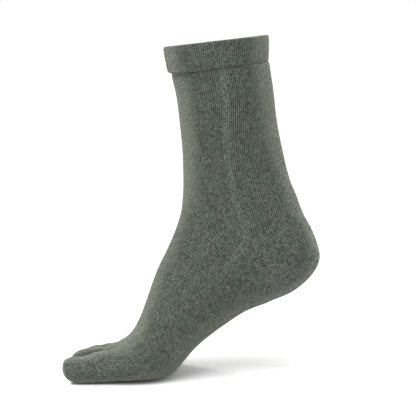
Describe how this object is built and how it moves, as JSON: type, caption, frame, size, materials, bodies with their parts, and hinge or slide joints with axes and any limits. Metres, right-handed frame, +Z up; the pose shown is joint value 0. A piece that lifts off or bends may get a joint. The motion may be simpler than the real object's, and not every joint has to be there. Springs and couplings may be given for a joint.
{
  "type": "toe sock",
  "caption": "Knitted ankle-high toe sock for a right foot, in its worn form on tiptoe, open at the leg, with a turned cuff, a turned heel and separate toes.",
  "frame": {"origin": "centre of the leg opening, in the plane of the cuff's upper edge, where the sock is held up", "axes": "+Z up along the leg, -X towards the toes, +X towards the heel, -Y on the big toe's side, +Y on the little toe's side"},
  "size_m": [0.2273, 0.0952, 0.3028],
  "materials": {
    "melange_knit": "fine plain knit in grey-green melange yarn",
    "heel_knit": "fine plain knit, a little greyer",
    "cuff_knit": "turned double welt of fine knit"
  },
  "bodies": {
    "root": {"cuff": "cuff_knit", "leg": "melange_knit", "heel": "heel_knit", "foot": "melange_knit", "big_toe": "melange_knit", "second_toe": "melange_knit", "third_toe": "melange_knit", "fourth_toe": "melange_knit", "little_toe": "melange_knit"}
  },
  "joints": []
}
